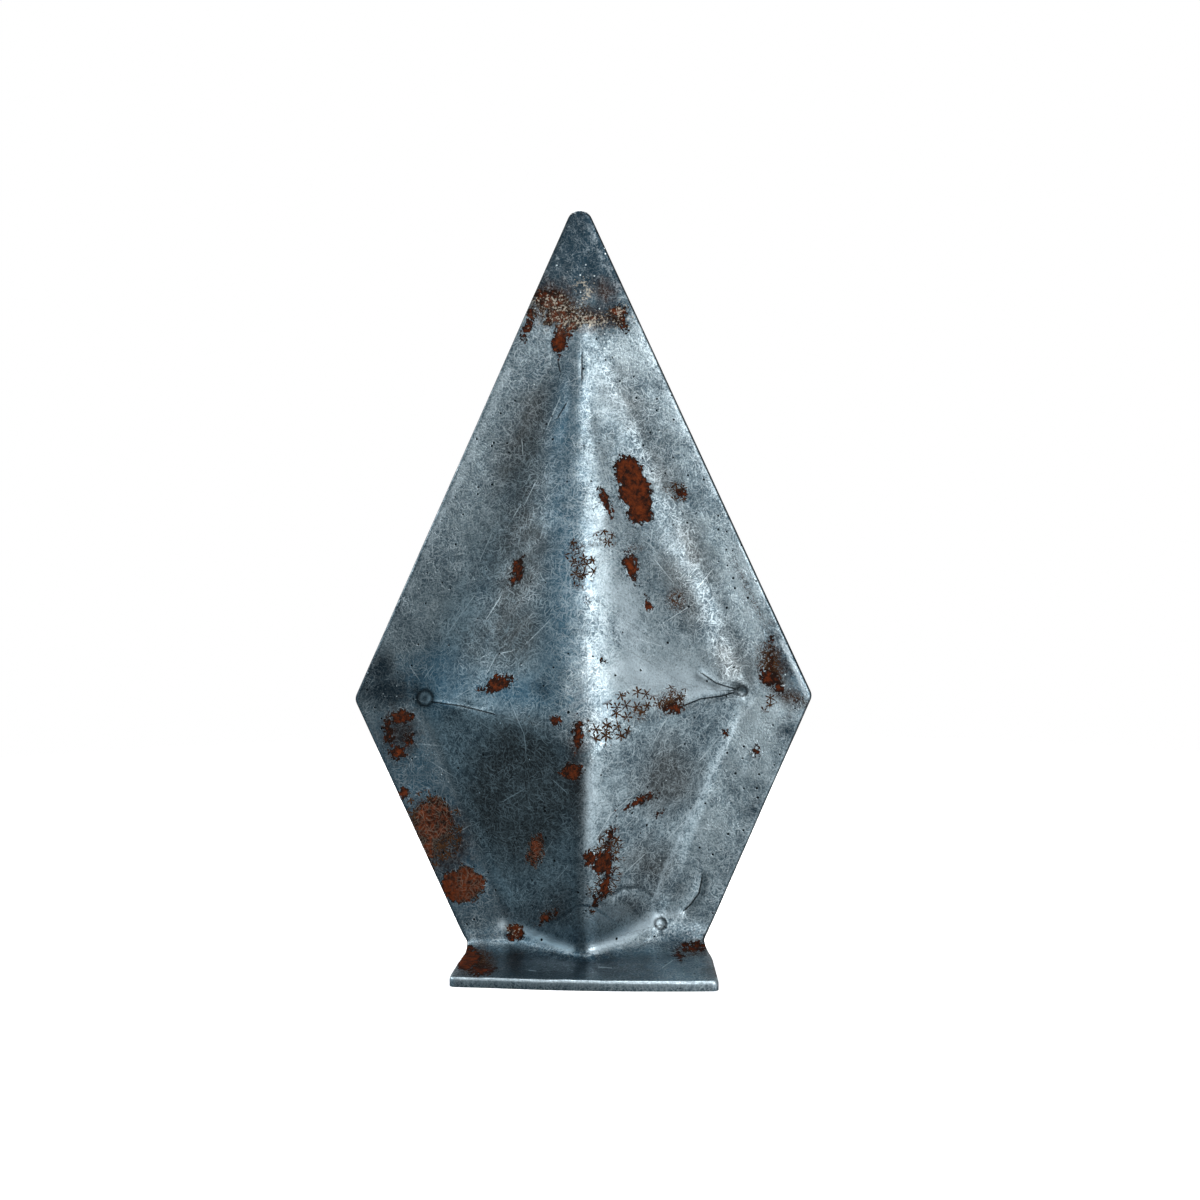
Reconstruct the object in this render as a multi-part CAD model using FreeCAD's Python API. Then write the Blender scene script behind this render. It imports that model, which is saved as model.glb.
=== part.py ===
# Railing spear finial: two pressed steel sheets, back to back, spot welded at five points.
# Millimetres. Z runs up the spear, X across it, and the front face looks towards -Y.
# The two flat rims meet on the plane Y = 0. The origin is the middle of the underside of the foot.

import FreeCAD, Part
import math
import os

Vector = FreeCAD.Vector

# Sheet
sheet = 1.0             # thickness of the steel before pressing
edge_roll = 0.35        # rounding that the blanking punch leaves along the outer face

# Outline of the blade, seen from the front
corner_x = 24.5         # half the width, at the two side corners
corner_z = 27.5         # height of the side corners
tip_rise = 54.0         # from the side corners up to where the two long edges would meet
tip_round = 1.4         # radius of the tip
corner_round = 0.8      # radius of the side corners
neck_z = 1.3            # height at which the blade's edges run into the sides of the foot
neck_round = 1.2        # radius there

# Foot, turned out to sit on the end of a square tube
foot_width = 25.4       # across the spear
foot_reach = 12.7       # from the plane between the sheets to the front edge
foot_corner = 0.6       # radius of the foot's front corners
foot_bend = 1.5         # radius of the hollow side of the bend between blade and foot

# Raised diamond, measured from the outer face of the flat rim to the sharp, unrounded form
raised_top = 38.5       # from the side corners up to where the ridge starts
raised_x = 16.8         # half the width, at the height of the side corners
raised_foot_x = 6.6     # half the width at the foot
apex_rise = 11.0        # how far the ridge stands out at its highest point
apex_drop = 4.0         # how far below the side corners that point lies
ridge_top_round = 1.5   # radius along the upright ridge at its top
ridge_mid_round = 4.5   # the same at the highest point
ridge_foot_round = 2.0  # the same at the foot
side_round = 2.6        # radius along the ridges that run out to the side corners
rim_blend = 3.0         # radius of the hollow between the diamond and the flat rim

# Spot welds: small round dishes where the electrodes pinched both sheets
weld_width = 1.9
weld_depth = 0.25
tip_weld_width = 2.5
tip_weld_x = 1.6
tip_weld_rise = 43.4    # above the side corners
side_weld_x = 17.1
foot_weld_left = -7.5
foot_weld_left_z = 3.6
foot_weld_right = 8.2
foot_weld_right_z = 3.8

# Working blocks, and how near two places or two slopes are to count as one
near = 1e-4
smooth = 3.0            # degrees: faces that meet at less than this run on without a crease
beyond = 3.0            # how far a working block runs past the part
far = 2 * (corner_z + tip_rise)
top_block = corner_z + tip_rise + beyond


def raised_point(x, rise, z):
    """A point of the diamond, given by how far it stands out from the rim."""
    return Vector(x, -sheet - rise, z)


def mirrored(point):
    """The point's twin on the other side of the ridge."""
    return Vector(-point.x, point.y, point.z)


def block(x, y_low, y_high, z_low, z_high):
    """A box that is centred on X = 0 and runs x to each side."""
    return Part.makeBox(2 * x, y_high - y_low, z_high - z_low, Vector(-x, y_low, z_low))


def creases(shape, wanted):
    """The edges whose two faces meet at an angle, at whose middle wanted(point) is true."""
    found = []
    for edge in shape.Edges:
        faces = shape.ancestorsOfType(edge, Part.Face)
        if len(faces) != 2 or edge.Length < near:
            continue
        middle = edge.valueAt((edge.FirstParameter + edge.LastParameter) / 2)
        first, second = (f.normalAt(*f.Surface.parameter(middle)) for f in faces)
        if first.getAngle(second) > math.radians(smooth) and wanted(middle):
            found.append(edge)
    return found


def roof(first, second, corner, inset, radius_low, radius_high, z_low, z_high):
    """Two mirrored facets that meet in an upright ridge, solid behind.

    The right facet goes through the three points and is moved in by inset. The ridge is
    a cone: a ball that fits inside it has radius_low at z_low and radius_high at z_high.
    """
    normal = (second - first).cross(corner - first).normalize()
    if normal.y > 0:
        normal = -normal
    forward = Vector(0, normal.y, normal.z).normalize()
    balls, touches = [], []
    for z in (-2 * beyond, corner_z + raised_top + beyond):
        radius = radius_low + (radius_high - radius_low) * (z - z_low) / (z_high - z_low) - inset
        sharp_ridge = Vector(0, (first.dot(normal) - inset - normal.z * z) / normal.y, z)
        balls.append(sharp_ridge - forward * (radius / forward.dot(normal)))
        touches.append(balls[-1] + normal * radius)

    # The ridge turns from the right facet to the left one about the line through the balls
    axis = (balls[1] - balls[0]).normalize()
    spoke = touches[0] - balls[0]
    spoke = spoke - axis * spoke.dot(axis)
    turn = 2 * spoke.getAngle(Vector(0, spoke.y, spoke.z))
    ridge = Part.makeLine(*touches).revolve(balls[0], -axis, math.degrees(turn))

    # Both ends are flat and square to that line
    outward = axis.cross(normal)
    outward = outward.normalize() * math.copysign(far, outward.x)
    low, high = [[p, p + outward, mirrored(p + outward), mirrored(p)] for p in touches]
    faces = [ridge]
    for i in range(3):
        faces.append(Part.Face(Part.makePolygon([low[i], low[i + 1], high[i + 1], high[i], low[i]])))
    arcs = [e for e in ridge.Edges if isinstance(e.Curve, Part.Circle)]
    arcs.sort(key=lambda e: e.CenterOfMass.z)
    for arc, end in zip(arcs, (low, high)):
        faces.append(Part.Face(Part.Wire([arc] + Part.makePolygon(end).Edges)))
    skin = Part.makeCompound(faces)
    skin.sewShape()
    return Part.makeSolid(skin.Shells[0])


def formed(inset):
    """Everything behind the outer face of the pressed sheet, with that face moved in by inset."""
    start = raised_point(0, 0, corner_z + raised_top)
    apex = raised_point(0, apex_rise, corner_z - apex_drop)
    side = raised_point(raised_x, 0, corner_z)
    foot = raised_point(raised_foot_x, 0, sheet)
    rim_y = inset - sheet
    foot_z = sheet - inset

    # Two roofs cross in the crest, which runs from side corner to side corner
    upper = roof(start, apex, side, inset, ridge_mid_round, ridge_top_round, apex.z, start.z)
    lower = roof(apex, side, foot, inset, ridge_foot_round, ridge_mid_round, foot.z, apex.z)
    diamond = upper.common(lower)
    crest = creases(diamond, lambda p: abs(p.x) < ridge_mid_round and abs(p.z - apex.z) < ridge_mid_round)
    diamond = diamond.makeFillet(side_round - inset, crest)

    # The diamond stands on the flat rim, and a hollow blends them
    rim = block(far, rim_y, far, -beyond, top_block)
    raised = rim.fuse(diamond.common(block(far, -far, far, -beyond, top_block)))
    border = creases(raised, lambda p: abs(p.y - rim_y) < near and abs(p.x) < raised_x)
    raised = raised.makeFillet(rim_blend + inset, [e for e in border if e.Length < far])

    # The foot is bent out below them, with one hollow along its whole root
    whole = raised.fuse(block(far, -far, far, -far, foot_z))
    bend = creases(whole, lambda p: abs(p.z - foot_z) < near and p.y > -far / 2)
    return whole.makeFillet(foot_bend + inset, bend)


def edges_along(solid, places):
    """The edges whose every end lies on one of the places, given as (X, Y, Z) with None for any."""
    def on(vertex, place):
        return all(want is None or abs(have - want) < near for have, want in zip(vertex.Point, place))

    return [e for e in solid.Edges if any(all(on(v, place) for v in e.Vertexes) for place in places)]


def blank():
    """The outline of the blade and the foot, as a solid that the formed sheet is cut with."""
    half_foot = foot_width / 2
    tip_z = corner_z + tip_rise
    tip = Vector(0, beyond, tip_z)
    right = [Vector(corner_x, beyond, corner_z), Vector(half_foot, beyond, neck_z)]
    right.append(Vector(half_foot, beyond, -beyond))
    left = [mirrored(point) for point in right[::-1]]
    outline = Part.Face(Part.makePolygon([tip] + right + left + [tip])).extrude(Vector(0, -far, 0))
    outline = outline.makeFillet(tip_round, edges_along(outline, [(0, None, tip_z)]))
    side_places = [(corner_x, None, corner_z), (-corner_x, None, corner_z)]
    outline = outline.makeFillet(corner_round, edges_along(outline, side_places))
    neck_places = [(half_foot, None, neck_z), (-half_foot, None, neck_z)]
    outline = outline.makeFillet(neck_round, edges_along(outline, neck_places))

    outline = outline.cut(block(far, -2 * far, -foot_reach, -far, sheet + foot_bend))
    front_places = [(half_foot, -foot_reach, None), (-half_foot, -foot_reach, None)]
    return outline.makeFillet(foot_corner, edges_along(outline, front_places))


def weld_dish(skin, x, z, width):
    """The ball that leaves a round dish in the outer face, where an electrode pressed along Y."""
    ray = Part.makeLine(Vector(x, -far, z), Vector(x, beyond, z))
    face_y = min(hit.y for hit, other in ray.distToShape(skin)[1])
    ball = ((width / 2) ** 2 + weld_depth ** 2) / (2 * weld_depth)
    return Part.makeSphere(ball, Vector(x, face_y + weld_depth - ball, z))


def front_pressing():
    """One sheet: the diamond and the foot are formed, the outline is cut, the welds pinch it."""
    outer = formed(0)
    outline = blank()
    pressing = outer.cut(formed(sheet)).common(outline)
    skin, cut_edge = outer.Shells[0], outline.Shells[0]

    def on_both(p):
        spot = Part.Vertex(p)
        return skin.distToShape(spot)[0] < near and cut_edge.distToShape(spot)[0] < near

    pressing = pressing.makeFillet(edge_roll, creases(pressing, on_both))
    dishes = [
        weld_dish(skin, tip_weld_x, corner_z + tip_weld_rise, tip_weld_width),
        weld_dish(skin, side_weld_x, corner_z, weld_width),
        weld_dish(skin, -side_weld_x, corner_z, weld_width),
        weld_dish(skin, foot_weld_left, foot_weld_left_z, weld_width),
        weld_dish(skin, foot_weld_right, foot_weld_right_z, weld_width),
    ]
    return pressing.cut(dishes)


front = front_pressing()
back = front.mirror(Vector(0, 0, 0), Vector(0, 1, 0))

os.makedirs("parts", exist_ok=True)
for name, shape in (("front_pressing", front), ("back_pressing", back)):
    solid = shape.Solids[0]
    print(name, "solids", len(shape.Solids), "valid", solid.isValid(), "volume", round(solid.Volume, 2))
    solid.exportStep("parts/" + name + ".step")
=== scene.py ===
# Railing spear finial: two pressed steel sheets, spot welded back to back, worn and rusted.
# Lengths are in millimetres until a mesh is made. Marks on the sheets are placed in the pixels
# of a 1200 x 1200 picture that the camera below takes.

import math
from functools import partial
import bpy
import numpy as np
from mathutils import Matrix, Vector


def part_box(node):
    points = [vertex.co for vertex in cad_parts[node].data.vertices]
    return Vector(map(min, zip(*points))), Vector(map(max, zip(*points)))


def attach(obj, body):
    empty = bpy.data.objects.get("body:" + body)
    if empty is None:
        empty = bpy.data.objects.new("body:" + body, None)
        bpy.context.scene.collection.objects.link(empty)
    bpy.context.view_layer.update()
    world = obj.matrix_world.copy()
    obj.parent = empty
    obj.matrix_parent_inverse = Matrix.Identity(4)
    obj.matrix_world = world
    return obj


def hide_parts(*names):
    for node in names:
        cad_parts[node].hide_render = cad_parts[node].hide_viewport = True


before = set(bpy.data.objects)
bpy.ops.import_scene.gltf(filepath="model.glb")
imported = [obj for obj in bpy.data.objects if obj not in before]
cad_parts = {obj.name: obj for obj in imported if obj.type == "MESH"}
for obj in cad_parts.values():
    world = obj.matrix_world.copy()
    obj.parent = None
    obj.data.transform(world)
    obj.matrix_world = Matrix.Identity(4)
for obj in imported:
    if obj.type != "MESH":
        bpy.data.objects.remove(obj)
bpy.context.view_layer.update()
mm = 0.001
sheetLow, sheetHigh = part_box("front_pressing")
fullHeight = sheetHigh.z / mm
footReach = -sheetLow.y / mm
print("frame loaded, height", round(fullHeight, 2), "mm, foot reach", round(footReach, 2), "mm")

# The viewpoint of the picture
viewpoint = {
    "side": 1200,           # of the picture, in pixels
    "axis": (583, 634.4),   # pixel that the lens points at
    "focus": 1047,          # focal length, in pixels
    "distance": 112.7,      # from the lens to the plane between the sheets
    "height": 34.2,         # of the lens above the underside of the foot
    "lean": 0.44,           # degrees that the finial leans to the left
    "sensor": 36,           # width of the camera's sensor, in mm
}


def toPicture(points):
    # the pixels where points in mm land
    scale = viewpoint["focus"] / (points[:, 1] + viewpoint["distance"])
    across = points[:, 0] * scale
    up = (points[:, 2] - viewpoint["height"]) * scale
    lean = math.radians(viewpoint["lean"])
    column = viewpoint["axis"][0] + across * math.cos(lean) - up * math.sin(lean)
    row = viewpoint["axis"][1] - up * math.cos(lean) - across * math.sin(lean)
    return column, row


def placeCamera():
    lens = viewpoint["focus"] / viewpoint["side"] * viewpoint["sensor"]
    data = bpy.data.cameras.new("pictureCamera")
    data.sensor_width, data.lens = viewpoint["sensor"], lens
    data.shift_x = 0.5 - viewpoint["axis"][0] / viewpoint["side"]
    data.shift_y = viewpoint["axis"][1] / viewpoint["side"] - 0.5
    data.clip_start, data.clip_end = 0.005, 20
    camera = bpy.data.objects.new("pictureCamera", data)
    bpy.context.scene.collection.objects.link(camera)
    lean = Matrix.Rotation(math.radians(viewpoint["lean"]), 4, "Y")
    spot = Matrix.Translation((0, -viewpoint["distance"] * mm, viewpoint["height"] * mm))
    camera.matrix_world = spot @ lean @ Matrix.Rotation(math.pi / 2, 4, "X")
    bpy.context.scene.camera = camera


placeCamera()
print("camera placed")

# The form that both sheets were pressed to, as its outer face
form = {
    "sheet": 1.0,           # thickness of the steel
    "edgeRoll": 0.35,       # rounding that the blanking punch leaves on the outer side
    "tipRound": 1.4,
    "edgeAngle": math.atan2(24.5, 54.0),    # of the long edges to the upright
    "cornerHeight": 27.5,
    "cornerRound": 0.8,
    "neckHeight": 1.3,
    "neckRound": 1.2,
    "footCorner": 0.6,
    # Rounding of the hollow between blade and foot, by place across
    "footBend": {-12.7: 2.7, -9: 3.5, -6: 3.4, -1.5: 1.9, 2: 2.4, 7: 3.6, 10: 3.8, 12.7: 2.6},
    "ridgeTop": 66.0,       # height where the upright ridge starts
    "sideReach": 16.8,      # from the centre line to the ends of the crest
    "footHalf": 6.6,        # half the width of the diamond where it meets the foot
    "apexRise": 11.0,       # from the rim to the sharp form
    "apexHeight": 23.5,
    "ridgeStray": {24: 0.1, 30: 0.45, 40: 0.6, 56: 0.5, 64: 0.1},   # to the left, by height
    "lowerRidgeRound": {1: 2.0, 12: 2.2, 20: 2.6, 27: 4.0},         # by height
    "upperRidgeRound": {24: 8.5, 33: 8.5, 47.5: 5.6, 56.5: 3.0, 66: 1.6},
    "crestRound": {0: 5.0, 5: 2.6, 14: 1.0},                        # by distance from the centre
    "rimRound": {1: 2.2, 24: 2.4, 34: 5.5, 46: 6.5, 62: 4.0},       # where the diamond meets the rim
    # How far the edges stray outwards, by height on the unfolded sheet
    "leftStray": {-8.6: 0.6, -3.9: 0.25, 0.5: -0.2, 3: 0},
    "rightStray": {-11: 0.03, -7.4: 0.2, -2.2: 0.4, 1.5: -0.1, 4: 0},
    # How far the foot's front edge falls short, by place across
    "footShortfall": {-12.7: 2.1, -6: 1.0, 0: 0.4, 6: 0.05, 12.7: 0},
    "meshStep": 0.19,       # from point to point of the mesh
}
halfFoot = footReach
sharpTip = fullHeight + form["tipRound"] * (1 / math.sin(form["edgeAngle"]) - 1)
cornerReach = (sharpTip - form["cornerHeight"]) * math.tan(form["edgeAngle"])
lowerSlope = (cornerReach - halfFoot) / (form["cornerHeight"] - form["neckHeight"])
footEnd = 2 * form["sheet"] - footReach         # height of the foot's front edge on the unfolded sheet
fanHeight = footReach                           # below this, lines of sight for the mesh fan out to the foot


def softMin(a, b, blend):
    overlap = np.maximum(blend - np.abs(a - b), 0)
    return np.minimum(a, b) - overlap ** 2 / (4 * blend)


def softMax(a, b, blend):
    return -softMin(-a, -b, blend)


def byPlace(places, value, soft=0.0):
    # a value by place, in straight runs with their corners softened
    at, values = list(places), list(places.values())
    return np.mean([np.interp(value + d * soft, at, values) for d in (-1, -0.5, 0, 0.5, 1)], axis=0)


def plane(*corners):
    # slope across, slope up and height at the origin, of the plane through three (x, z, rise)
    corners = np.array(corners, float)
    return np.linalg.solve(np.column_stack([corners[:, :2], np.ones(3)]), corners[:, 2])


apex = (0, form["apexHeight"], form["apexRise"])
side = (form["sideReach"], form["cornerHeight"], 0)
upperFacet = plane((0, form["ridgeTop"], 0), apex, side)
lowerFacet = plane(apex, side, (form["footHalf"], form["sheet"], 0))


def ridged(facet, rounding, x, z):
    # the facet and its twin, with the upright ridge between them rounded
    blend = 2 * facet[0] ** 2 * byPlace(rounding, z)
    right = facet[0] * x + facet[1] * z + facet[2]
    left = -facet[0] * x + facet[1] * z + facet[2]
    return softMin(right, left, blend)


def rise(x, z):
    # how far the pressed diamond stands out from the flat rim
    x = x + byPlace(form["ridgeStray"], z, 3)
    crease = upperFacet[1] - lowerFacet[1]
    crest = byPlace(form["crestRound"], np.abs(x)) * crease ** 2 / 2
    upper = ridged(upperFacet, form["upperRidgeRound"], x, z)
    lower = ridged(lowerFacet, form["lowerRidgeRound"], x, z)
    diamond = softMin(upper, lower, crest)
    steepness = np.hypot(*lowerFacet[:2])
    return softMax(diamond, 0, byPlace(form["rimRound"], z) * steepness ** 2 / 2)


def clearance(x, y, z):
    # above zero in front of the sheet, below zero behind its outer face
    blade = -form["sheet"] - rise(x, z) - y
    return softMin(blade, z - form["sheet"], byPlace(form["footBend"], x, 1.5))


def halfWidth(height, inset):
    # half the unfolded sheet's width, less an inset along its edge
    angle = form["edgeAngle"]
    upper = (sharpTip - height) * math.tan(angle) - inset / math.cos(angle)
    lowerInset = inset * math.hypot(1, lowerSlope)
    lower = halfFoot + (height - form["neckHeight"]) * lowerSlope - lowerInset
    turn = math.tan(angle) + lowerSlope
    lower = softMax(lower, halfFoot - inset, form["neckRound"] * lowerSlope ** 2 / 2)
    width = softMin(upper, lower, form["cornerRound"] * turn ** 2 / 2)
    centre, radius = fullHeight - form["tipRound"], form["tipRound"] - inset
    above = np.clip((height - centre) / radius, -1, 1)
    width = np.where(above > math.sin(angle), radius * np.sqrt(1 - above ** 2), width)
    radius = form["footCorner"] - inset
    past = np.clip((footEnd + inset + radius - height) / radius, 0, 1)
    return width - radius * (1 - np.sqrt(1 - past ** 2))


def rowHeights(step, inset):
    # heights on the unfolded sheet, from the tip to the foot's front edge
    centre, radius = fullHeight - form["tipRound"], form["tipRound"] - inset
    turns = np.linspace(0, math.pi / 2 - form["edgeAngle"], 9)
    tip = centre + radius * np.cos(turns)
    radius = form["footCorner"] - inset
    turns = np.linspace(0, math.pi / 2, 5)
    foot = footEnd + inset + radius * (1 - np.sin(turns))
    count = round((tip[-1] - foot[0]) / step)
    return np.concatenate([tip, np.linspace(tip[-1], foot[0], count + 1)[1:-1], foot])


def slopeOf(x, y, z):
    # unit normals of the outer face
    tiny = 0.01
    normal = np.column_stack([
        clearance(x + tiny, y, z) - clearance(x - tiny, y, z),
        clearance(x, y + tiny, z) - clearance(x, y - tiny, z),
        clearance(x, y, z + tiny) - clearance(x, y, z - tiny)])
    return normal / np.linalg.norm(normal, axis=1)[:, None]


def traceSkin(step):
    # points and normals of the outer face, in rows from the tip down and round onto the foot.
    # Each point lies where a line of sight to the sharply folded sheet meets the face
    inset, sheet = form["edgeRoll"], form["sheet"]
    heights = rowHeights(step, inset)
    widths = halfWidth(heights, inset)
    lefts = widths + byPlace(form["leftStray"], heights, 1.2)
    rights = widths + byPlace(form["rightStray"], heights, 1.2)
    counts = np.maximum(np.round(2 * widths / step).astype(int) + 1, 2)
    lefts[0] = rights[0] = 0
    counts[0] = 1
    x = np.concatenate([np.linspace(-left, right, n) for left, right, n in zip(lefts, rights, counts)])
    height = np.repeat(heights, counts)
    aimY = np.where(height > sheet, -sheet, height - 2 * sheet)
    aimZ = np.maximum(height, sheet)
    fromY = np.full_like(x, -fanHeight)
    fromZ = np.maximum(height, fanHeight)
    beyond, halvings = 1.2, 32
    near, past = np.zeros_like(x), np.full_like(x, beyond)
    for _ in range(halvings):
        middle = (near + past) / 2
        y, z = fromY + (aimY - fromY) * middle, fromZ + (aimZ - fromZ) * middle
        outside = clearance(x, y, z) > 0
        near, past = np.where(outside, middle, near), np.where(outside, past, middle)
    normals = slopeOf(x, y, z)
    outOnFoot = np.clip((-sheet - y) / (footReach - sheet), 0, 1) ** 2
    y = y + byPlace(form["footShortfall"], x, 4) * outOnFoot * (height < sheet)
    starts = np.concatenate([[0], np.cumsum(counts)])
    rows = [np.arange(a, b) for a, b in zip(starts[:-1], starts[1:])]
    return np.column_stack([x, y, z]), normals, rows, np.column_stack([x, height])


def zipRows(first, second, place):
    # triangles between two rows of vertices, each row in order of place
    faces, a, b = [], 0, 0
    while a < len(first) - 1 or b < len(second) - 1:
        moreFirst, moreSecond = a < len(first) - 1, b < len(second) - 1
        if moreFirst and (not moreSecond or place[first[a + 1]] < place[second[b + 1]]):
            faces.append((first[a], second[b], first[a + 1]))
            a += 1
        else:
            faces.append((first[a], second[b], second[b + 1]))
            b += 1
    return faces


def skinFaces(points, rows):
    place = points[:, 0].tolist()
    lists = [row.tolist() for row in rows]
    return [face for first, second in zip(lists, lists[1:]) for face in zipRows(first, second, place)]


def borderOf(rows):
    # the skin's border from the tip, clockwise as seen from the front
    right = [row[-1] for row in rows[1:-1]]
    left = [row[0] for row in rows[1:-1]]
    return np.array(list(rows[0]) + right + list(rows[-1][::-1]) + left[::-1])


def ripple(points, size, seed, waves=30):
    # random swell, about 1 high, with humps about one size apart
    chance = np.random.default_rng(seed)
    heading = chance.normal(size=(waves, 3))
    heading /= np.linalg.norm(heading, axis=1)[:, None]
    pitch = 2 * math.pi / (size * chance.uniform(1.5, 2.6, waves))
    phase = chance.uniform(0, 2 * math.pi, waves)
    return np.cos(points @ (heading * pitch[:, None]).T + phase).sum(axis=1) * math.sqrt(2 / waves)


def inPatches(patches, column, row):
    # how deep each place lies inside the nearest patch, in pixels: below zero outside
    farOutside = -60.0
    deepest = np.full_like(column, farOutside)
    for x, y, wide, tall, turn in patches.values():
        angle = math.radians(turn)
        along = (column - x) * math.cos(angle) + (row - y) * math.sin(angle)
        over = (row - y) * math.cos(angle) - (column - x) * math.sin(angle)
        inside = (1 - np.hypot(along / wide, over / tall)) * min(wide, tall)
        deepest = np.maximum(deepest, inside)
    return deepest


def fromStrokes(strokes, column, row):
    # distance in pixels from the nearest line through a stroke's points, below zero on one side of it
    farAway = 1e3
    nearest = np.full_like(column, farAway)
    for (x, y), (endX, endY) in [pair for stroke in strokes for pair in zip(stroke, stroke[1:])]:
        runX, runY = endX - x, endY - y
        share = np.clip(((column - x) * runX + (row - y) * runY) / (runX ** 2 + runY ** 2), 0, 1)
        away = np.hypot(column - x - share * runX, row - y - share * runY)
        away = np.copysign(away, (column - x) * runY - (row - y) * runX)
        nearest = np.where(np.abs(away) < np.abs(nearest), away, nearest)
    return nearest


def alongLines(lines, column, row):
    # the strengths of lines, each fading out at its own width in pixels
    total = np.zeros_like(column)
    for strength, width, stroke in lines.values():
        total += strength * np.exp(-(fromStrokes([stroke], column, row) / width) ** 2)
    return total


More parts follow.
